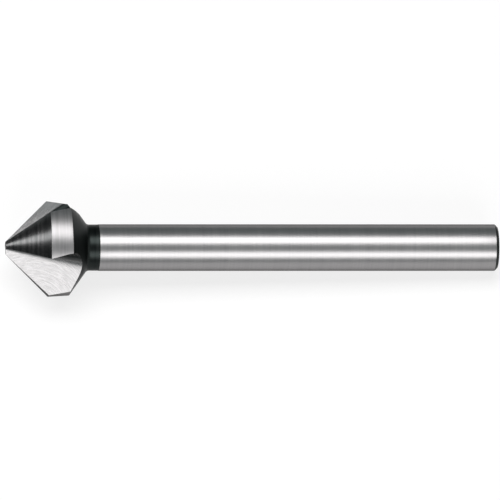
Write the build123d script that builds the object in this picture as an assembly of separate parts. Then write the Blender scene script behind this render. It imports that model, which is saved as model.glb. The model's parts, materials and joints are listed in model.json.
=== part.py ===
"""A long three-edged countersink bit with a plain round shank.

The tool is one piece of steel.  It is modelled along +X, with its pointed end at x = 0 and the
shank behind it, and it is then laid on a bench in the way it comes to rest there.  Lengths are
in millimetres and angles in degrees.  Seen from the shank it turns clockwise.
"""

import os
from math import cos, radians, sin, tan

from build123d import *

# Lengths along the tool
OVERALL_LENGTH = 106.0
LAND_LENGTH = 4.5  # the band behind the cone, along a cutting edge
NECK_LENGTH = 2.5  # unground stretch between the head and the shank

# Diameters
HEAD_DIAMETER = 21.2  # across the cutting corners
TIP_DIAMETER = 3.1  # the small flat that ends the cone
NECK_DIAMETER = 9.9
SHANK_DIAMETER = 10.0

# Slopes and edges of the turned body
POINT_ANGLE = 90.0  # of the whole cone
LAND_TAPER = 3.4  # the land shrinks towards the shank
BACK_ANGLE = 54.3  # from the axis to the cone behind the head
NECK_FILLET = 1.0
END_CHAMFER = 0.55

# Teeth and flutes
TOOTH_COUNT = 3
TOOTH_SPAN = 59.5  # from a cutting edge back to its heel, at the front of the land
RELIEF_DROP = 0.23  # the heel lies this much nearer the axis than its cutting edge
FACE_LEAN = 18.5  # the cutting face leans back from the radial plane
ROOT_PAST_AXIS = 0.2  # the two walls would meet just beyond the axis
ROOT_RADIUS = 0.64  # round bottom of the flute at the tip
ROOT_WIDENING = 0.27  # growth of that radius for each millimetre along the tool

# Sizes that follow from those above
tooth_pitch = 360.0 / TOOTH_COUNT
head_radius = HEAD_DIAMETER / 2
tip_radius = TIP_DIAMETER / 2
neck_radius = NECK_DIAMETER / 2
shank_radius = SHANK_DIAMETER / 2
cone_slope = tan(radians(POINT_ANGLE / 2))
land_start = (head_radius - tip_radius) / cone_slope
land_end = land_start + LAND_LENGTH
land_end_radius = head_radius - LAND_LENGTH * tan(radians(LAND_TAPER))
back_slope = tan(radians(BACK_ANGLE))
neck_start = land_end + (land_end_radius - neck_radius) / back_slope
neck_end = neck_start + NECK_LENGTH
half_flute = radians(tooth_pitch - TOOTH_SPAN) / 2
waste = head_radius / 4  # how far blanks and cutters reach past the finished head


def turned_body():
    """The lathe work: a plain cylinder to cut the teeth from, the back cone, neck and shank."""
    blank_radius = head_radius + waste
    blank_end = land_end - (blank_radius - land_end_radius) / back_slope
    outline = Polyline(
        (0, 0),
        (0, blank_radius),
        (blank_end, blank_radius),
        (neck_start, neck_radius),
        (neck_end, neck_radius),
        (neck_end + shank_radius - neck_radius, shank_radius),
        (OVERALL_LENGTH - END_CHAMFER, shank_radius),
        (OVERALL_LENGTH, shank_radius - END_CHAMFER),
        (OVERALL_LENGTH, 0),
        close=True,
    )
    section = make_face(outline)
    neck_corner = section.vertices().sort_by_distance((neck_start, neck_radius, 0))[0]
    section = fillet(neck_corner, NECK_FILLET)
    return revolve(section, Axis.X)


def at_angle(angle, radius=1.0):
    """A place across the tool, at an angle (in radians) in front of the +Z cutting edge."""
    return Vector(radius * sin(angle), radius * cos(angle))


def section_plane(station):
    """A plane across the tool, with its x along +Y and its y along +Z."""
    return Plane(origin=(station, 0, 0), x_dir=(0, 1, 0), z_dir=(1, 0, 0))


def relieved_back():
    """The cone and land of the tooth whose cutting edge points to +Z and moves towards +Y.

    They are ground about an axis that stands a little off the tool's own, so that the surface
    falls away from the cutting edge to the heel.
    """
    side = radians(90 - TOOTH_SPAN / 2)
    offset = RELIEF_DROP / (cos(side) - cos(side + radians(TOOTH_SPAN)))
    inset = offset * cos(side)
    land_reach = LAND_LENGTH + waste
    outline = Polyline(
        (0, 0),
        (0, tip_radius - inset),
        (land_start, head_radius - inset),
        (land_start + land_reach, head_radius - inset - land_reach * tan(radians(LAND_TAPER))),
        (land_start + land_reach, 0),
        close=True,
    )
    axis_place = section_plane(0).from_local_coords(at_angle(side, offset))
    return Location(axis_place) * revolve(make_face(outline), Axis.X)


def tooth_sector():
    """The stretch of the head between the middles of two flutes, for the same tooth."""
    angles = [half_flute - step * radians(tooth_pitch) / 2 for step in range(3)]
    corners = [Vector(0, 0)] + [at_angle(angle, HEAD_DIAMETER) for angle in angles]
    section = section_plane(0) * make_face(Polyline(*corners, close=True))
    return extrude(section, land_end + waste / 2)


def flute_root(station):
    """Where the two walls of the flute in front of the +Z cutting edge would meet.

    The cutting face holds the whole straight cutting edge, so this point moves forward as the
    cone widens.
    """
    depth = station * cone_slope + tip_radius + ROOT_PAST_AXIS
    return Vector(depth * tan(radians(FACE_LEAN)), -ROOT_PAST_AXIS)


def flute_section(station):
    """That flute, cut across the tool: two straight walls on a round bottom."""
    root = flute_root(station)
    next_heel = at_angle(2 * half_flute, head_radius - RELIEF_DROP)
    face_way = at_angle(-radians(FACE_LEAN))
    heel_way = (next_heel - flute_root(land_start)).normalized()
    middle_way = (face_way + heel_way).normalized()
    half_opening = radians(face_way.get_angle(heel_way)) / 2
    radius = ROOT_RADIUS + ROOT_WIDENING * station
    to_wall = radius / tan(half_opening)
    to_bottom = radius / sin(half_opening) - radius
    reach = to_wall + HEAD_DIAMETER
    outline = [
        ThreePointArc(root + face_way * to_wall, root + middle_way * to_bottom, root + heel_way * to_wall),
        Line(root + heel_way * to_wall, root + heel_way * reach),
        Line(root + heel_way * reach, root + face_way * reach),
        Line(root + face_way * reach, root + face_way * to_wall),
    ]
    return section_plane(station) * make_face(outline)


def flute():
    """The waste that leaves a flute: flat walls on a round bottom that widens to the rear."""
    return loft([flute_section(-ROOT_RADIUS), flute_section(neck_end)], ruled=True)


def whole_tool():
    """The finished tool along +X, with one cutting edge at +Z."""
    tool = turned_body()
    for number in range(TOOTH_COUNT):
        turn = Rot(X=number * tooth_pitch)
        tool -= turn * (tooth_sector() - relieved_back())
        tool -= turn * flute()
    return tool.solid()


def resting_normal(tool):
    """The upward direction, in the tool's own axes, when it lies with one flute on the bench.

    It then stands on a corner of each tooth beside that flute and on the rim of the shank.
    """
    along = Vector(1, 0, 0)
    up = section_plane(0).from_local_coords(at_angle(half_flute)) * -1
    rim_centre = along * (OVERALL_LENGTH - END_CHAMFER)
    corners = [Vector(*vertex) for vertex in tool.vertices() if vertex.X < neck_start]
    for _ in range(8):
        level_side = up.cross(along)
        left = min((corner for corner in corners if corner.dot(level_side) > 0), key=up.dot)
        right = min((corner for corner in corners if corner.dot(level_side) < 0), key=up.dot)
        rim = rim_centre - (up - along * up.X).normalized() * shank_radius
        up = (right - left).cross(rim - left).normalized()
    return up


def laid_down(tool):
    """The tool on its bench: along X, point towards -X, origin under the middle of its box."""
    up = resting_normal(tool)
    bench = Plane(origin=(0, 0, 0), x_dir=Vector(1, 0, 0) - up * up.X, z_dir=up)
    lying = bench.to_local_coords(tool)
    box = lying.bounding_box()
    return Pos(-box.center().X, -box.center().Y, -box.min.Z) * lying


os.makedirs("parts", exist_ok=True)
countersink_bit = laid_down(whole_tool())
countersink_bit.label = "countersink_bit"
export_step(countersink_bit, "parts/countersink_bit.step")
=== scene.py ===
# %% [markdown]
# # A three-edged countersink bit
#
# A countersink bit is one bar of tool steel.  The shank is ground round, the head is ground to a
# cone with three cutting edges, and three flutes let the chips out.  Whatever isn't ground keeps
# the black skin that hardening leaves.  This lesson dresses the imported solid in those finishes.
# The first step loads that solid, which fixes the place and the size of everything after it.

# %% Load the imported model
import json
from math import asin, atan2, cos, degrees, pi, radians, sin, sqrt, tan

import bpy
from mathutils import Matrix, Vector


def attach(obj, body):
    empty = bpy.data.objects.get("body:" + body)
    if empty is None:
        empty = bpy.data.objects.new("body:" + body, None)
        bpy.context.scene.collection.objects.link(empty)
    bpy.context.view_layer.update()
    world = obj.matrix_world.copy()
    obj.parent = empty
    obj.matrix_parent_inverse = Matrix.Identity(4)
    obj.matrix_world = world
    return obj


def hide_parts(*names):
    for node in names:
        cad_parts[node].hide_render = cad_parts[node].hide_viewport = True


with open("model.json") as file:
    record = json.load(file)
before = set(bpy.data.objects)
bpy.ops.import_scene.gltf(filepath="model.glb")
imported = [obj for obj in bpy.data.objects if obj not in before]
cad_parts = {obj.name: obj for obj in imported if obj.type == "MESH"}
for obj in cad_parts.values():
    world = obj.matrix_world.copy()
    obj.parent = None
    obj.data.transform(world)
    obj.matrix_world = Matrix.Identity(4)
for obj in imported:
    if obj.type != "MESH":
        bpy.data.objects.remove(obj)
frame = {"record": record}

scene = bpy.context.scene
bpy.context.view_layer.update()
MM = 0.001

# %% [markdown]
# ## Where the tool lies
#
# The record's mounts say where the middle of the shank's end is and which way the axis points.
# All shapes below are first worked out along a plain X axis, in millimetres, with the point at
# zero.  One matrix then lays them down in metres.  The alternative, turning a finished object,
# would leave a rotation on it, and patterns on Object coordinates would turn with it.

# %% The tool's own axes
OVERALL_LENGTH = 106.0
EDGE_TURN = 143.97  # degrees from upright towards +Y, where the first cutting edge lies

shank_end = next(m for m in frame["record"]["mounts"] if m["name"] == "shank_end")
axis = Vector(shank_end["axis"]).normalized()
upright = Vector((-axis.z, 0.0, axis.x))
across = Vector((0.0, 1.0, 0.0))
edge_way = upright * cos(radians(EDGE_TURN)) + across * sin(radians(EDGE_TURN))
cut_way = edge_way.cross(axis)
point_place = Vector(shank_end["pos_m"]) - axis * OVERALL_LENGTH * MM
turn = Matrix((axis, cut_way, edge_way)).transposed()
lay_down = Matrix.Translation(point_place) @ turn.to_4x4() @ Matrix.Scale(MM, 4)
print("point at", [round(v / MM, 3) for v in point_place], "axis", [round(v, 4) for v in axis])

# %% [markdown]
# ## The sizes of the head
#
# The cone and the land behind it are relieved: each tooth is ground about an axis that stands a
# little off the tool's own, so its surface falls away from the cutting edge to the heel.  A
# circle about a shifted centre has a short formula for its radius at each angle, so the whole
# blank can be written as one function of station and angle.

# %% Sizes in millimetres, angles in degrees
LAND_LENGTH = 4.5
NECK_LENGTH = 2.5
HEAD_RADIUS = 10.6
TIP_RADIUS = 1.55
NECK_RADIUS = 4.95
SHANK_RADIUS = 5.0
LAND_TAPER = 3.4
BACK_ANGLE = 54.3
NECK_FILLET = 1.0
END_CHAMFER = 0.55
TOOTH_COUNT = 3
TOOTH_SPAN = 59.5
RELIEF_DROP = 0.23
FACE_LEAN = 18.5
ROOT_PAST_AXIS = 0.2
ROOT_RADIUS = 0.64
ROOT_WIDENING = 0.27

tooth_pitch = 2 * pi / TOOTH_COUNT
half_flute = (tooth_pitch - radians(TOOTH_SPAN)) / 2
land_start = HEAD_RADIUS - TIP_RADIUS
land_end = land_start + LAND_LENGTH
land_end_radius = HEAD_RADIUS - LAND_LENGTH * tan(radians(LAND_TAPER))
back_slope = tan(radians(BACK_ANGLE))
neck_start = land_end + (land_end_radius - NECK_RADIUS) / back_slope
neck_end = neck_start + NECK_LENGTH
relief_side = radians(90 - TOOTH_SPAN / 2)
relief_offset = RELIEF_DROP / (cos(relief_side) - cos(relief_side + radians(TOOTH_SPAN)))
print("land from", round(land_start, 2), "to", round(land_end, 2), "neck ends", round(neck_end, 2))

# %% [markdown]
# ## The turned and relieved blank
#
# On a lathe the blank would be one outline spun about the axis.  Here the outline changes a
# little with the angle, because of the relief, so it is worked out again at every angle.  Its
# corners get small arcs: a real ground edge is never perfectly sharp, and the arcs catch light.

# %% One outline at one angle
TIP_ROUNDING = 0.02
LAND_FRONT_ROUNDING = 0.15
LAND_REAR_ROUNDING = 0.12
STEP_ROUNDING = 0.03
CHAMFER_ROUNDING = 0.25
END_ROUNDING = 0.1
STEP_LENGTH = 0.05  # along the tool, from the neck up to the shank
SETTLING_ROUNDS = 6


def relieved(concentric_radius, angle):
    """The ground radius of the tooth at this angle, where its cutting edge has the given one."""
    behind = (angle - half_flute) % tooth_pitch - tooth_pitch + half_flute
    round_radius = concentric_radius - relief_offset * cos(relief_side)
    sideways = relief_offset * sin(behind - relief_side)
    return relief_offset * cos(behind - relief_side) + sqrt(round_radius**2 - sideways**2)


def rear_of_land(angle):
    """Where the relieved land meets the cone behind the head: a station and a radius."""
    station = land_end
    for _ in range(SETTLING_ROUNDS):
        edge_radius = HEAD_RADIUS - (station - land_start) * tan(radians(LAND_TAPER))
        station = land_end + (land_end_radius - relieved(edge_radius, angle)) / back_slope
    return station, land_end_radius - (station - land_end) * back_slope


def rounded_corner(before, corner, after, radius, steps):
    """Points on the arc that rounds a corner of an outline."""
    corner = Vector(corner)
    to_before = (Vector(before) - corner).normalized()
    to_after = (Vector(after) - corner).normalized()
    half = to_before.angle(to_after) / 2
    centre = corner + (to_before + to_after).normalized() * (radius / sin(half))
    first = corner + to_before * (radius / tan(half)) - centre
    last = corner + to_after * (radius / tan(half)) - centre
    sweep = first.angle_signed(last)
    return [centre + Matrix.Rotation(-sweep * n / steps, 2) @ first for n in range(steps + 1)]


def outline(angle):
    """Stations and radii along the tool at one angle, with the finish of each stretch."""
    # each row: the corner, its rounding's radius, steps and finish, then the finish of the
    # straight run after it and the number of faces along that run
    corners = [
        ((0.0, relieved(TIP_RADIUS, angle)), TIP_ROUNDING, 2, "cone", "cone", 10),
        ((land_start, relieved(HEAD_RADIUS, angle)), LAND_FRONT_ROUNDING, 4, "land", "land", 6),
        (rear_of_land(angle), LAND_REAR_ROUNDING, 4, "land", "oxide", 6),
        ((neck_start, NECK_RADIUS), NECK_FILLET, 8, "oxide", "oxide", 2),
        ((neck_end, NECK_RADIUS), STEP_ROUNDING, 2, "oxide", "oxide", 1),
        ((neck_end + STEP_LENGTH, SHANK_RADIUS), STEP_ROUNDING, 2, "shank", "shank", 24),
        ((OVERALL_LENGTH - END_CHAMFER, SHANK_RADIUS), CHAMFER_ROUNDING, 4, "oxide", "oxide", 1),
        ((OVERALL_LENGTH, SHANK_RADIUS - END_CHAMFER), END_ROUNDING, 3, "oxide", "oxide", 3),
    ]
    places = [corner[0] for corner in corners]
    before = [(0.0, 0.0)] + places[:-1]
    after = places[1:] + [(OVERALL_LENGTH, 0.0)]
    points, finishes = [], []
    for number, (place, radius, steps, rounding, next_finish, next_faces) in enumerate(corners):
        arc = rounded_corner(before[number], place, after[number], radius, steps)
        if points:
            start = points[-1]
            points += [start.lerp(arc[0], n / run_faces) for n in range(1, run_faces)]
            finishes += [run_finish] * run_faces
        points += arc
        finishes += [rounding] * steps
        run_finish, run_faces = next_finish, next_faces
    return points, finishes


# %% [markdown]
# A full turn of such outlines, joined by quads, is the blank.  The name of a finish is kept for
# each face.  The angles are shifted by half a step, so that no row of corners lies exactly in
# the plane of a cutting face, where a boolean has trouble to choose a side.

# %% Build the blank
TURN_STEPS = 480

turn_angles = [(step + 0.5) * 2 * pi / TURN_STEPS for step in range(TURN_STEPS)]
outlines = [outline(angle) for angle in turn_angles]
outline_length = len(outlines[0][0])
blank_corners = [(0.0, 0.0, 0.0), (OVERALL_LENGTH, 0.0, 0.0)]
axis_corners = len(blank_corners)
blank_faces, face_finish = [], []
for angle, (points, finishes) in zip(turn_angles, outlines):
    blank_corners += [(p.x, p.y * sin(angle), p.y * cos(angle)) for p in points]
for step in range(TURN_STEPS):
    here = axis_corners + step * outline_length
    there = axis_corners + (step + 1) % TURN_STEPS * outline_length
    blank_faces.append((0, here, there))
    blank_faces.append((1, there + outline_length - 1, here + outline_length - 1))
    face_finish += ["cone", "oxide"]
    for n, finish in enumerate(outlines[step][1]):
        blank_faces.append((here + n, here + n + 1, there + n + 1, there + n))
        face_finish.append(finish)

blank_mesh = bpy.data.meshes.new("blank")
blank_mesh.from_pydata(blank_corners, [], blank_faces)
blank = bpy.data.objects.new("blank", blank_mesh)
scene.collection.objects.link(blank)
print("blank:", len(blank_corners), "corners,", len(blank_faces), "faces")

# %% [markdown]
# ## The flute cutter
#
# One flute is cut by a wheel with two straight flanks and a round nose.  Its path is a straight
# ruling from the point to the neck: the nose widens on the way, and the face wall always holds
# the whole cutting edge.  The cutter is a closed solid made of a few cross-sections.

# %% Sections of the cutter
def across_at(angle, radius=1.0):
    """A place across the tool as (forward, outward), at an angle in front of the edge."""
    return Vector((radius * sin(angle), radius * cos(angle)))


def flute_root(station):
    """Where the two walls of the flute would meet."""
    depth = station + TIP_RADIUS + ROOT_PAST_AXIS
    return Vector((depth * tan(radians(FACE_LEAN)), -ROOT_PAST_AXIS))


ROOT_STEPS = 28
CUTTER_REACH = 20.0

face_way = across_at(-radians(FACE_LEAN))
heel_way = across_at(2 * half_flute, HEAD_RADIUS - RELIEF_DROP) - flute_root(land_start)
heel_way.normalize()
middle_way = (face_way + heel_way).normalized()
half_opening = face_way.angle(heel_way) / 2


def cutter_section(station):
    """Points of the cutter at one station: down the heel wall, round the root, up the face."""
    root = flute_root(station)
    radius = ROOT_RADIUS + ROOT_WIDENING * station
    centre = root + middle_way * (radius / sin(half_opening))
    to_wall = radius / tan(half_opening)
    sweep = pi - 2 * half_opening
    points = [root + heel_way * (to_wall + CUTTER_REACH)]
    for n in range(ROOT_STEPS + 1):
        lean = sweep * (0.5 - n / ROOT_STEPS)
        points.append(centre - Matrix.Rotation(lean, 2) @ middle_way * radius)
    points.append(root + face_way * (to_wall + CUTTER_REACH))
    return points


wall_error = (cutter_section(0.0)[1] - flute_root(0.0)).angle(heel_way)
print("flute opens", round(degrees(2 * half_opening), 1), "deg; wall error", round(wall_error, 4))

# %% [markdown]
# The sections are skinned with quads and closed at both ends.  Every face of the cutter is
# marked, and a boolean hands the mark on to the walls that it leaves.  That is how the walls
# are found again after the cut.

# %% Build the cutter
CUTTER_STATIONS = 9

first_station, last_station = -ROOT_RADIUS, neck_end
cutter_corners, cutter_faces = [], []
for n in range(CUTTER_STATIONS):
    station = first_station + (last_station - first_station) * n / (CUTTER_STATIONS - 1)
    cutter_corners += [(station, p.x, p.y) for p in cutter_section(station)]
section_length = len(cutter_section(first_station))
for n in range(CUTTER_STATIONS - 1):
    for k in range(section_length):
        here = n * section_length + k
        beside = n * section_length + (k + 1) % section_length
        cutter_faces.append((here, here + section_length, beside + section_length, beside))
last_section = (CUTTER_STATIONS - 1) * section_length
cutter_faces.append(tuple(range(section_length)))
cutter_faces.append(tuple(reversed(range(last_section, last_section + section_length))))

cutter_mesh = bpy.data.meshes.new("flute_cutter")
cutter_mesh.from_pydata(cutter_corners, [], cutter_faces)
wall_mark = cutter_mesh.attributes.new("flute_wall", "BOOLEAN", "FACE")
wall_mark.data.foreach_set("value", [True] * len(cutter_faces))
cutter = bpy.data.objects.new("flute_cutter", cutter_mesh)
scene.collection.objects.link(cutter)
print("cutter:", len(cutter_corners), "corners,", len(cutter_faces), "faces")

# %% [markdown]
# ## Tools for the finishes
#
# Every finish needs to know where it is on the tool: how far along it, and where around it.
# Object coordinates are turned back to the tool's own axes with one Mapping node.  Its three
# numbers are then the station, and two distances across, all in millimetres.

# %% Node helpers
axes_turn = turn.transposed()
axes_shift = -(axes_turn @ point_place) / MM


def link(tree, source, target):
    """Joins an output socket to an input socket."""
    tree.links.new(source, target)


def place_on_tool(tree):
    """Station and two cross distances of the shaded point, in millimetres."""
    place = tree.nodes.new("ShaderNodeTexCoord")
    mapping = tree.nodes.new("ShaderNodeMapping")
    mapping.inputs["Location"].default_value = axes_shift
    mapping.inputs["Rotation"].default_value = axes_turn.to_euler()
    mapping.inputs["Scale"].default_value = (1 / MM,) * 3
    link(tree, place.outputs["Object"], mapping.inputs["Vector"])
    return mapping.outputs["Vector"]


def new_group(name, inputs, outputs):
    """An empty shader node group with the sockets that are named."""
    group = bpy.data.node_groups.new(name, "ShaderNodeTree")
    for label, kind, value in inputs:
        socket = group.interface.new_socket(label, in_out="INPUT", socket_type=kind)
        if value is not None:
            socket.default_value = value
    for label, kind in outputs:
        group.interface.new_socket(label, in_out="OUTPUT", socket_type=kind)
    return group, group.nodes.new("NodeGroupInput"), group.nodes.new("NodeGroupOutput")


print("tool axes shift in mm:", [round(v, 3) for v in axes_shift])

# %% [markdown]
# ## Grinding lines
#
# A wheel leaves fine lines that all run one way.  Noise that is squeezed along one direction
# gives them: it changes fast along X of its input and slowly along the others.  The group puts
# out a height for the bump, and a slower shade that varies the colour and the roughness.

# %% The grinding line group
lines_group, g_in, g_out = new_group(
    "grinding_lines",
    [
        ("Place", "NodeSocketVector", None),
        ("Lines", "NodeSocketFloat", 8.0),
        ("Waver", "NodeSocketFloat", 0.1),
    ],
    [("Height", "NodeSocketFloat"), ("Shade", "NodeSocketFloat")],
)
LINE_SCALE, LINE_DETAIL = 1.0, 3.0
SHADE_SCALE, SHADE_DETAIL = 0.31, 2.0
NOISE_ROUGHNESS = 0.6

squeeze = lines_group.nodes.new("ShaderNodeCombineXYZ")
link(lines_group, g_in.outputs["Lines"], squeeze.inputs["X"])
link(lines_group, g_in.outputs["Waver"], squeeze.inputs["Y"])
link(lines_group, g_in.outputs["Waver"], squeeze.inputs["Z"])
squeezed = lines_group.nodes.new("ShaderNodeVectorMath")
squeezed.operation = "MULTIPLY"
link(lines_group, g_in.outputs["Place"], squeezed.inputs[0])
link(lines_group, squeeze.outputs["Vector"], squeezed.inputs[1])
for label, scale, detail in (
    ("Height", LINE_SCALE, LINE_DETAIL),
    ("Shade", SHADE_SCALE, SHADE_DETAIL),
):
    noise = lines_group.nodes.new("ShaderNodeTexNoise")
    noise.inputs["Scale"].default_value = scale
    noise.inputs["Detail"].default_value = detail
    noise.inputs["Roughness"].default_value = NOISE_ROUGHNESS
    link(lines_group, squeezed.outputs["Vector"], noise.inputs["Vector"])
    link(lines_group, noise.outputs["Fac"], g_out.inputs[label])
print("group:", lines_group.name, [s.name for s in lines_group.interface.items_tree])

# %% [markdown]
# ## Ground steel
#
# One function makes the three finishes whose lines run round the tool, each with its own
# lines, grey and gloss.  The steel is a metal without a coat; its look comes from what it
# reflects, so the roughness and the depth of the lines matter more than the colour.  A Specular
# Tint below white keeps the rims of the round parts dark, where metal would mirror everything.

# %% A ground finish
NOISE_LOW, NOISE_HIGH = 0.3, 0.7  # nearly all of a noise's values lie between these
GROUND_RIM = (0.3, 0.3, 0.3, 1.0)  # the tint at grazing angles


def map_range(tree, value, from_low, from_high, low, high):
    """Maps one range of numbers onto another, and holds what lies outside at its ends."""
    node = tree.nodes.new("ShaderNodeMapRange")
    node.inputs["From Min"].default_value = from_low
    node.inputs["From Max"].default_value = from_high
    node.inputs["To Min"].default_value = low
    node.inputs["To Max"].default_value = high
    link(tree, value, node.inputs["Value"])
    return node.outputs["Result"]


def between(tree, noise, low, high):
    """Maps a noise onto a range of numbers."""
    return map_range(tree, noise, NOISE_LOW, NOISE_HIGH, low, high)


def two_colours(tree, factor, dark, light):
    """Mixes two plain colours by a factor socket."""
    node = tree.nodes.new("ShaderNodeMix")
    node.data_type = "RGBA"
    node.inputs["A"].default_value = (*dark, 1.0)
    node.inputs["B"].default_value = (*light, 1.0)
    link(tree, factor, node.inputs["Factor"])
    return node.outputs["Result"]


def new_material(name):
    """A material, its node tree and its Principled shader."""
    material = bpy.data.materials.new(name)
    material.use_nodes = True
    tree = material.node_tree
    return material, tree, tree.nodes["Principled BSDF"]


def grinding(tree, place, lines, waver):
    """The grinding line group, placed in a material: its height and its shade."""
    node = tree.nodes.new("ShaderNodeGroup")
    node.node_tree = lines_group
    node.inputs["Lines"].default_value = lines
    node.inputs["Waver"].default_value = waver
    link(tree, place, node.inputs["Place"])
    return node.outputs["Height"], node.outputs["Shade"]


def bump(tree, height, depth, strength):
    """A normal that follows a height; the depth of the relief is in millimetres."""
    node = tree.nodes.new("ShaderNodeBump")
    node.inputs["Distance"].default_value = depth * MM
    node.inputs["Strength"].default_value = strength
    link(tree, height, node.inputs["Height"])
    return node.outputs["Normal"]


def ground_steel(name, dark, light, lines, waver, depth, gloss):
    """Ground steel with lines round the tool; gloss is its lowest and highest roughness."""
    material, tree, shader = new_material(name)
    height, shade = grinding(tree, place_on_tool(tree), lines, waver)
    factor = between(tree, shade, 0.0, 1.0)
    link(tree, two_colours(tree, factor, dark, light), shader.inputs["Base Color"])
    link(tree, between(tree, shade, *gloss), shader.inputs["Roughness"])
    link(tree, bump(tree, height, depth, strength=0.6), shader.inputs["Normal"])
    shader.inputs["Metallic"].default_value = 1.0
    shader.inputs["Specular Tint"].default_value = GROUND_RIM
    return material


shank_steel = ground_steel(
    "ground_shank",
    dark=(0.29, 0.284, 0.286),
    light=(0.322, 0.314, 0.316),
    lines=7.0,
    waver=0.15,
    depth=0.0006,
    gloss=(0.31, 0.35),
)
land_steel = ground_steel(
    "ground_land",
    dark=(0.24, 0.235, 0.237),
    light=(0.3, 0.292, 0.294),
    lines=6.0,
    waver=0.25,
    depth=0.001,
    gloss=(0.35, 0.4),
)
# Painted shade: the cone is the same ground steel as the land, but its grey is written much
# darker, as if it mirrored dark surroundings.
cone_steel_painted_dark = ground_steel(
    "ground_cone_painted_shade",
    dark=(0.076, 0.08, 0.08),
    light=(0.17, 0.167, 0.168),
    lines=5.0,
    waver=0.1,
    depth=0.01,
    gloss=(0.2, 0.26),
)
print("ground finishes:", shank_steel.name, land_steel.name, cone_steel_painted_dark.name)

# %% [markdown]
# ## The ground flute
#
# The wheel crosses the face wall on an arc, so its lines are parts of circles about a place
# beyond the cutting edge.  They follow the wall's own flat coordinates, which the mesh carries
# as a UV map in millimetres.  The flute's root and its heel wall get painted shade: a nearly
# black colour mixed into the ground steel.  The mesh also carries how far round the root each
# place is, and a colour ramp turns that into a share of painted shade.

# %% The flute finish
WHEEL_CENTRE = (4.0, 16.5, 0.0)  # station and distance out, in millimetres
# Painted shade in the flute: a nearly black colour mixed into the root and the heel wall.
ROOT_SHADE_SHARE = (
    (0.01, 0.4),
    (0.05, 1.0),
    (0.56, 1.0),
    (0.66, 0.93),
    (0.74, 0.62),
    (0.82, 0.34),
    (0.9, 0.05),
    (1.0, 0.0),
)  # places from the heel wall to the face wall, and how much painted shade is mixed in there
ROOT_SHADE_COLOUR = (0.008, 0.01, 0.0098, 1.0)

flute_steel, tree, shader = new_material("ground_flute")
wall_place = tree.nodes.new("ShaderNodeUVMap")
wall_place.uv_map = "wall_place"
from_wheel = tree.nodes.new("ShaderNodeVectorMath")
from_wheel.operation = "SUBTRACT"
from_wheel.inputs[1].default_value = WHEEL_CENTRE
link(tree, wall_place.outputs["UV"], from_wheel.inputs[0])
arc = tree.nodes.new("ShaderNodeVectorMath")
arc.operation = "LENGTH"
link(tree, from_wheel.outputs["Vector"], arc.inputs[0])
split = tree.nodes.new("ShaderNodeSeparateXYZ")
link(tree, from_wheel.outputs["Vector"], split.inputs["Vector"])
along_arc = tree.nodes.new("ShaderNodeCombineXYZ")
link(tree, arc.outputs["Value"], along_arc.inputs["X"])
link(tree, split.outputs["X"], along_arc.inputs["Y"])
height, shade = grinding(tree, along_arc.outputs["Vector"], lines=3.2, waver=0.5)
contrast = between(tree, height, -0.3, 1.3)
ground = two_colours(tree, contrast, dark=(0.72, 0.705, 0.708), light=(0.89, 0.872, 0.876))
root = tree.nodes.new("ShaderNodeAttribute")
root.attribute_name = "root_turn"
painted_shade_ramp = tree.nodes.new("ShaderNodeValToRGB")
ramp = painted_shade_ramp.color_ramp
ramp.elements[0].position = ROOT_SHADE_SHARE[0][0]
ramp.elements[1].position = ROOT_SHADE_SHARE[-1][0]
for position, share in ROOT_SHADE_SHARE[1:-1]:
    ramp.elements.new(position)
for element, (position, share) in zip(ramp.elements, ROOT_SHADE_SHARE):
    element.color = (share, share, share, 1.0)
link(tree, root.outputs["Fac"], painted_shade_ramp.inputs["Fac"])
# Painted shade: this mix lays the nearly black colour into the root and the heel wall.
skin = tree.nodes.new("ShaderNodeMix")
skin.data_type = "RGBA"
link(tree, painted_shade_ramp.outputs["Color"], skin.inputs["Factor"])
link(tree, ground, skin.inputs["A"])
skin.inputs["B"].default_value = ROOT_SHADE_COLOUR
link(tree, skin.outputs["Result"], shader.inputs["Base Color"])
link(tree, between(tree, shade, 0.22, 0.3), shader.inputs["Roughness"])
link(tree, bump(tree, height, depth=0.006, strength=0.5), shader.inputs["Normal"])
shader.inputs["Metallic"].default_value = 1.0
print("flute finish:", flute_steel.name)

# %% [markdown]
# ## The black skin
#
# Hardening and a black bath leave the neck, the back of the head and the shank's end dark.
# The skin is thin and a little uneven, with the turning lines of the lathe still under it.  It
# is a metal too, but a nearly black one, with rims that are less dark than the ground steel's.

# %% The oxide finish
SKIN_DARK = (0.0125, 0.0155, 0.015)
SKIN_LIGHT = (0.023, 0.0265, 0.0255)
SKIN_RIM = (0.65, 0.65, 0.65, 1.0)

oxide, tree, shader = new_material("black_oxide")
height, shade = grinding(tree, place_on_tool(tree), lines=5.0, waver=0.3)
unevenness = between(tree, shade, 0.0, 1.0)
link(tree, two_colours(tree, unevenness, SKIN_DARK, SKIN_LIGHT), shader.inputs["Base Color"])
link(tree, between(tree, shade, 0.28, 0.38), shader.inputs["Roughness"])
link(tree, bump(tree, height, depth=0.004, strength=0.5), shader.inputs["Normal"])
shader.inputs["Metallic"].default_value = 1.0
shader.inputs["Specular Tint"].default_value = SKIN_RIM
print("skin finish:", oxide.name)

# %% [markdown]
# ## Cutting the flutes
#
# A Geometry Nodes tree repeats the cutter around the axis and takes all copies away from the
# blank at once.  The number of flutes is an input, so the same tree could cut five or seven.
# Boolean modifiers would need one cutter object for each flute.

# %% The flute cutting tree
cutting = bpy.data.node_groups.new("cut_flutes", "GeometryNodeTree")
sockets = {}
for label, kind in (
    ("Geometry", "NodeSocketGeometry"),
    ("Cutter", "NodeSocketObject"),
    ("Flutes", "NodeSocketInt"),
    ("Wall finish", "NodeSocketMaterial"),
):
    socket = cutting.interface.new_socket(label, in_out="INPUT", socket_type=kind)
    sockets[label] = socket.identifier
cutting.interface.new_socket("Geometry", in_out="OUTPUT", socket_type="NodeSocketGeometry")


def geo(kind, **properties):
    """A node of the cutting tree with its properties set."""
    node = cutting.nodes.new(kind)
    for key, value in properties.items():
        setattr(node, key, value)
    return node


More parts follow.
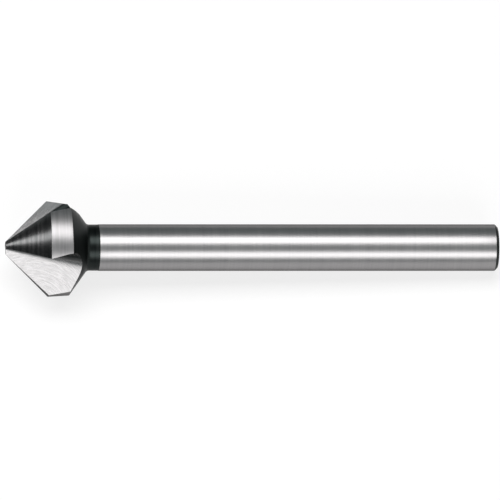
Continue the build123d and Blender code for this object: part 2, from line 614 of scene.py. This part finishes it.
tree_in, tree_out = geo("NodeGroupInput"), geo("NodeGroupOutput")
cutter_info = geo("GeometryNodeObjectInfo")
one_each = geo("GeometryNodeMeshLine")
one_each.inputs["Offset"].default_value = (0.0, 0.0, 0.0)
index = geo("GeometryNodeInputIndex")
turn_share = geo("ShaderNodeMath", operation="DIVIDE")
turn_angle = geo("ShaderNodeMath", operation="MULTIPLY")
turn_angle.inputs[1].default_value = 2 * pi
spin = geo("ShaderNodeCombineXYZ")
repeat = geo("GeometryNodeInstanceOnPoints")
real_cutters = geo("GeometryNodeRealizeInstances")
cut = geo("GeometryNodeMeshBoolean", operation="DIFFERENCE", solver="EXACT")
real_tool = geo("GeometryNodeRealizeInstances")
walls = geo("GeometryNodeInputNamedAttribute", data_type="BOOLEAN")
walls.inputs["Name"].default_value = "flute_wall"
finish_walls = geo("GeometryNodeSetMaterial")
for source, target in (
    (tree_in.outputs["Cutter"], cutter_info.inputs["Object"]),
    (tree_in.outputs["Flutes"], one_each.inputs["Count"]),
    (index.outputs["Index"], turn_share.inputs[0]),
    (tree_in.outputs["Flutes"], turn_share.inputs[1]),
    (turn_share.outputs["Value"], turn_angle.inputs[0]),
    (turn_angle.outputs["Value"], spin.inputs["X"]),
    (one_each.outputs["Mesh"], repeat.inputs["Points"]),
    (cutter_info.outputs["Geometry"], repeat.inputs["Instance"]),
    (spin.outputs["Vector"], repeat.inputs["Rotation"]),
    (repeat.outputs["Instances"], real_cutters.inputs["Geometry"]),
    (tree_in.outputs["Geometry"], cut.inputs["Mesh 1"]),
    (real_cutters.outputs["Geometry"], cut.inputs["Mesh 2"]),
    (cut.outputs["Mesh"], real_tool.inputs["Geometry"]),
    (real_tool.outputs["Geometry"], finish_walls.inputs["Geometry"]),
    (walls.outputs["Attribute"], finish_walls.inputs["Selection"]),
    (tree_in.outputs["Wall finish"], finish_walls.inputs["Material"]),
    (finish_walls.outputs["Geometry"], tree_out.inputs["Geometry"]),
):
    link(cutting, source, target)
print("cutting tree:", len(cutting.nodes), "nodes")

# %% [markdown]
# The modifier's inputs are set by their identifiers, before the blank is first evaluated.  The
# result is then turned into a plain mesh, and the blank and the cutter are no longer needed.

# %% Cut, and make a plain mesh
finish_of = {"cone": cone_steel_painted_dark, "land": land_steel, "oxide": oxide, "shank": shank_steel}
for material in finish_of.values():
    blank_mesh.materials.append(material)
slot_of = {name: number for number, name in enumerate(finish_of)}
blank_mesh.polygons.foreach_set("material_index", [slot_of[name] for name in face_finish])

modifier = blank.modifiers.new("cut_flutes", "NODES")
modifier.node_group = cutting
modifier[sockets["Cutter"]] = cutter
modifier[sockets["Flutes"]] = TOOTH_COUNT
modifier[sockets["Wall finish"]] = flute_steel
bpy.context.view_layer.update()
graph = bpy.context.evaluated_depsgraph_get()
tool_mesh = bpy.data.meshes.new_from_object(blank.evaluated_get(graph), depsgraph=graph)
tool_mesh.name = "countersink"
bpy.data.objects.remove(blank)
bpy.data.objects.remove(cutter)
print("cut tool:", len(tool_mesh.vertices), "corners,", len(tool_mesh.polygons), "faces")
print("finishes:", [m.name if m else None for m in tool_mesh.materials])

# %% [markdown]
# ## The flat coordinates of the walls
#
# Each face of a flute is turned back to the first flute.  Its coordinates are then the station,
# and the distance out along the face wall.  Both stay in millimetres.  The place round the root
# goes into an attribute of its own, for the painted shade in the root.

# %% Write the wall coordinates
def root_turn(flat, station):
    """How far round the root a place is: 0 on the heel wall, 1 on the face wall."""
    radius = ROOT_RADIUS + ROOT_WIDENING * station
    centre = flute_root(station) + middle_way * (radius / sin(half_opening))
    turned = (flat - centre).angle_signed(-middle_way)
    return min(max(0.5 - turned / (pi - 2 * half_opening), 0.0), 1.0)


wall_slot = [m.name for m in tool_mesh.materials].index(flute_steel.name)
tool_mesh.attributes.new("root_turn", "FLOAT", "CORNER")
tool_mesh.uv_layers.new(name="wall_place")
root_layer = tool_mesh.attributes["root_turn"]
wall_layer = tool_mesh.uv_layers["wall_place"]
marked = 0
for face in tool_mesh.polygons:
    if face.material_index != wall_slot:
        continue
    around = atan2(face.center.y, face.center.z)
    number = round((around - half_flute) / tooth_pitch)
    for loop in face.loop_indices:
        corner = tool_mesh.vertices[tool_mesh.loops[loop].vertex_index].co
        radius = sqrt(corner.y**2 + corner.z**2)
        flat = across_at(atan2(corner.y, corner.z) - number * tooth_pitch, radius)
        outward = (flat - flute_root(corner.x)).dot(face_way)
        wall_layer.data[loop].uv = (corner.x, outward)
        root_layer.data[loop].value = root_turn(flat, corner.x)
    marked += 1
turns = [item.value for item in root_layer.data]
print("root turn from", round(min(turns), 2), "to", round(max(turns), 2))
print("wall faces:", marked)

# %% [markdown]
# ## Laying the tool down
#
# The mesh itself is moved, so the object stays at the origin, unturned and unscaled.  Faces that
# meet at a small angle are shaded smooth, and the ground edges stay sharp.  The finished tool
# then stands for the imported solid.

# %% Lay the tool down and hand it to the frame
SMOOTH_UNDER = 20.0

tool_mesh.transform(lay_down)
tool_mesh.shade_smooth()
tool_mesh.set_sharp_from_angle(angle=radians(SMOOTH_UNDER))
countersink = bpy.data.objects.new("countersink", tool_mesh)
scene.collection.objects.link(countersink)
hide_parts("countersink_bit")
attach(countersink, "root")
heights = [v.co.z / MM for v in tool_mesh.vertices]
print("lowest and highest point in mm:", round(min(heights), 3), round(max(heights), 3))

# %% [markdown]
# ## The camera
#
# A long lens from well above the tool keeps its sides parallel, as in a catalogue.  The camera
# looks a little from the point's side, so that the cutting face shows its whole surface.

# %% Place the camera
CAMERA_ROLL = 22.13  # degrees from upright towards -Y
CAMERA_LEAD = 6.3  # degrees from square to the axis, towards the point
LENS = 1000.0
SENSOR = 36.0
CLIP_END = 20.0
PICTURE_WIDTH = 107.2  # millimetres across the picture
LOOK_ALONG = 52.65  # millimetres along the tool from its point
LOOK_BELOW = 0.515  # millimetres down the picture from the axis

facing = upright * cos(radians(CAMERA_ROLL)) - across * sin(radians(CAMERA_ROLL))
picture_up = upright * sin(radians(CAMERA_ROLL)) + across * cos(radians(CAMERA_ROLL))
to_camera = facing * cos(radians(CAMERA_LEAD)) - axis * sin(radians(CAMERA_LEAD))
picture_right = picture_up.cross(to_camera)
target = point_place + axis * LOOK_ALONG * MM - picture_up * LOOK_BELOW * MM
camera_distance = PICTURE_WIDTH * MM * LENS / SENSOR

camera_data = bpy.data.cameras.new("camera")
camera_data.lens = LENS
camera_data.sensor_width = SENSOR
camera_data.clip_end = CLIP_END
camera = bpy.data.objects.new("camera", camera_data)
camera_axes = Matrix((picture_right, picture_up, to_camera)).transposed().to_4x4()
camera.matrix_world = Matrix.Translation(target + to_camera * camera_distance) @ camera_axes
scene.collection.objects.link(camera)
scene.camera = camera
elevation = degrees(asin(to_camera.z))
print("camera", round(camera_distance, 2), "m away, elevation", round(elevation, 1))

# %% [markdown]
# ## Light
#
# Polished round steel shows its lamps as long bands.  Two long soft boxes lie along the tool,
# one each side of the camera, and a third stands off the point and lights the cutting face.
# Their places and sizes are in metres.

# %% Soft boxes
WATTS = 4.0  # from each square metre of a soft box, for a brightness of 1
FAR_BOX_LEAN = radians(36.5)  # up the picture from straight in front
NEAR_BOX_LEAN = radians(35.0)  # down the picture from straight in front


def seen(right, above, near):
    """A direction given along the tool, up the picture and towards the viewer."""
    return axis * right + picture_up * above + facing * near


def softbox(name, direction, distance, long_way, length, width, brightness, along):
    """A rectangular lamp that faces the tool from a direction, moved along it."""
    lamp = bpy.data.lights.new(name, "AREA")
    lamp.shape = "RECTANGLE"
    lamp.size, lamp.size_y = length, width
    lamp.energy = WATTS * brightness * length * width
    box = bpy.data.objects.new(name, lamp)
    back = direction.normalized()
    side = (long_way - back * long_way.dot(back)).normalized()
    turned = Matrix((side, back.cross(side), back)).transposed().to_4x4()
    box.matrix_world = Matrix.Translation(back * distance + axis * along) @ turned
    box.visible_camera = False
    scene.collection.objects.link(box)


softbox(
    "far_box",
    seen(0.0, sin(FAR_BOX_LEAN), cos(FAR_BOX_LEAN)),
    distance=0.5,
    long_way=axis,
    length=0.64,
    width=0.27,
    brightness=3.3,
    along=-0.15,
)
softbox(
    "near_box",
    seen(0.0, -sin(NEAR_BOX_LEAN), cos(NEAR_BOX_LEAN)),
    distance=0.5,
    long_way=axis,
    length=0.44,
    width=0.215,
    brightness=2.75,
    along=0.06,
)
softbox(
    "point_box",
    seen(-0.92, 0.295, 0.2),
    distance=0.07,
    long_way=across,
    length=0.016,
    width=0.047,
    brightness=2.8,
    along=-0.053,
)

# %% [markdown]
# ### Dark cards
#
# Bright steel on a white table mirrors white from all sides and loses its edges.  A product
# studio stands dark cards beside it: one behind, one low in front, one round the lens and one
# past the point.  Here only polished surfaces see them.  The camera doesn't, and they throw no
# shadow.

# %% Dark cards
CARD_TINT = (0.88, 1.0, 1.01, 1.0)  # a little cooler than the lamps


def dark_card(name, middle, long_way, high_way, length, height, grey):
    """A flat card of an even grey that only polished surfaces mirror."""
    card_paper, tree, shader = new_material(name)
    shader.inputs["Base Color"].default_value = (0.0, 0.0, 0.0, 1.0)
    shader.inputs["Specular IOR Level"].default_value = 0.0
    shader.inputs["Emission Color"].default_value = CARD_TINT
    shader.inputs["Emission Strength"].default_value = grey
    half_long = long_way * length / 2
    half_high = high_way * height / 2
    corners = [middle - half_long - half_high, middle + half_long - half_high]
    corners += [middle + half_long + half_high, middle - half_long + half_high]
    card_mesh = bpy.data.meshes.new(name)
    card_mesh.from_pydata(corners, [], [(0, 1, 2, 3)])
    card_mesh.materials.append(card_paper)
    card = bpy.data.objects.new(name, card_mesh)
    scene.collection.objects.link(card)
    card.visible_camera = False
    card.visible_diffuse = False
    card.visible_shadow = False


level_axis = Vector((axis.x, axis.y, 0.0)).normalized()
up = Vector((0.0, 0.0, 1.0))
sideways = up.cross(level_axis)
if sideways.dot(across) < 0:
    sideways = -sideways
dark_card(
    "far_card",
    middle=sideways * 0.075 + up * 0.06,
    long_way=level_axis,
    high_way=up,
    length=0.5,
    height=0.12,
    grey=0.25,
)
dark_card(
    "near_card",
    middle=sideways * -0.075 + up * 0.012,
    long_way=level_axis,
    high_way=up,
    length=0.5,
    height=0.024,
    grey=0.2,
)
dark_card(
    "lens_card",
    middle=facing * 0.45 + axis * 0.05,
    long_way=axis,
    high_way=picture_up,
    length=0.5,
    height=0.3,
    grey=0.27,
)
dark_card(
    "point_card",
    middle=level_axis * -0.13 + up * 0.03,
    long_way=sideways,
    high_way=up,
    length=0.15,
    height=0.06,
    grey=0.05,
)

# %% [markdown]
# ## Floor and surroundings
#
# The floor's own colour is a middle grey, which takes the tool's soft shadow under the lamps.
# Light Path adds the rest of the white for the camera and, by the same amount, for what polished
# steel mirrors.  So the floor looks pale in both, and it throws no extra light on the tool.

# %% The floor's sheet
FLOOR_SIZE = 6.0

half = FLOOR_SIZE / 2
floor_corners = [(-half, -half, 0), (half, -half, 0), (half, half, 0), (-half, half, 0)]
floor_mesh = bpy.data.meshes.new("floor")
floor_mesh.from_pydata(floor_corners, [], [(0, 1, 2, 3)])
floor = bpy.data.objects.new("floor", floor_mesh)
scene.collection.objects.link(floor)
print("floor", FLOOR_SIZE, "m")

# %% [markdown]
# Far from the tool the lamps fade, so the floor's share of added white grows with the distance.
# Otherwise a grey band would show along the horizon.  The world needs no such share.

# %% Its white, and the world's
WHITE = (1.0, 1.0, 1.0, 1.0)
FLOOR_GREY = (0.3, 0.3, 0.3, 1.0)
LAMPS_FULL, LAMPS_FADED = 0.15, 0.9  # metres from the middle of the tool
WHITE_NEAR, WHITE_FAR = 0.73, 0.97
WORLD_ON_TOOL = 0.13


def math_node(tree, operation, first, second):
    """A Math node on two numbers or sockets."""
    node = tree.nodes.new("ShaderNodeMath")
    node.operation = operation
    for socket, value in zip(node.inputs, (first, second)):
        if isinstance(value, (int, float)):
            socket.default_value = value
        else:
            link(tree, value, socket)
    return node.outputs["Value"]


def seen_by(tree, shown, otherwise):
    """One strength for the camera and for mirrors, another for the light on the tool."""
    path = tree.nodes.new("ShaderNodeLightPath")
    glossy, through = path.outputs["Is Glossy Ray"], path.outputs["Is Transmission Ray"]
    mirrors = math_node(tree, "MAXIMUM", glossy, through)
    watched = math_node(tree, "MAXIMUM", path.outputs["Is Camera Ray"], mirrors)
    strength = math_node(tree, "MULTIPLY_ADD", watched, shown - otherwise)
    strength.node.inputs[2].default_value = otherwise
    return strength


floor_paper, tree, shader = new_material("floor_paper")
shader.inputs["Base Color"].default_value = FLOOR_GREY
shader.inputs["Roughness"].default_value = 0.9
shader.inputs["Specular IOR Level"].default_value = 0.0
shader.inputs["Emission Color"].default_value = WHITE
centre = tree.nodes.new("ShaderNodeTexCoord")
away = tree.nodes.new("ShaderNodeVectorMath")
away.operation = "LENGTH"
link(tree, centre.outputs["Object"], away.inputs[0])
fading = (LAMPS_FULL, LAMPS_FADED, WHITE_NEAR, WHITE_FAR)
white_share = map_range(tree, away.outputs["Value"], *fading)
white = math_node(tree, "MULTIPLY", seen_by(tree, 1.0, 0.0), white_share)
link(tree, white, shader.inputs["Emission Strength"])
floor_mesh.materials.append(floor_paper)

world = bpy.data.worlds.new("studio")
world.use_nodes = True
tree = world.node_tree
background = tree.nodes["Background"]
link(tree, seen_by(tree, 1.0, WORLD_ON_TOOL), background.inputs["Strength"])
background.inputs["Color"].default_value = WHITE
scene.world = world
print("white for camera and mirrors on", floor_paper.name, "and world", world.name)

# %% [markdown]
# ## The picture's colours
#
# The picture's colours are shown as they are.

# %% Finish
scene.view_settings.view_transform = "Standard"
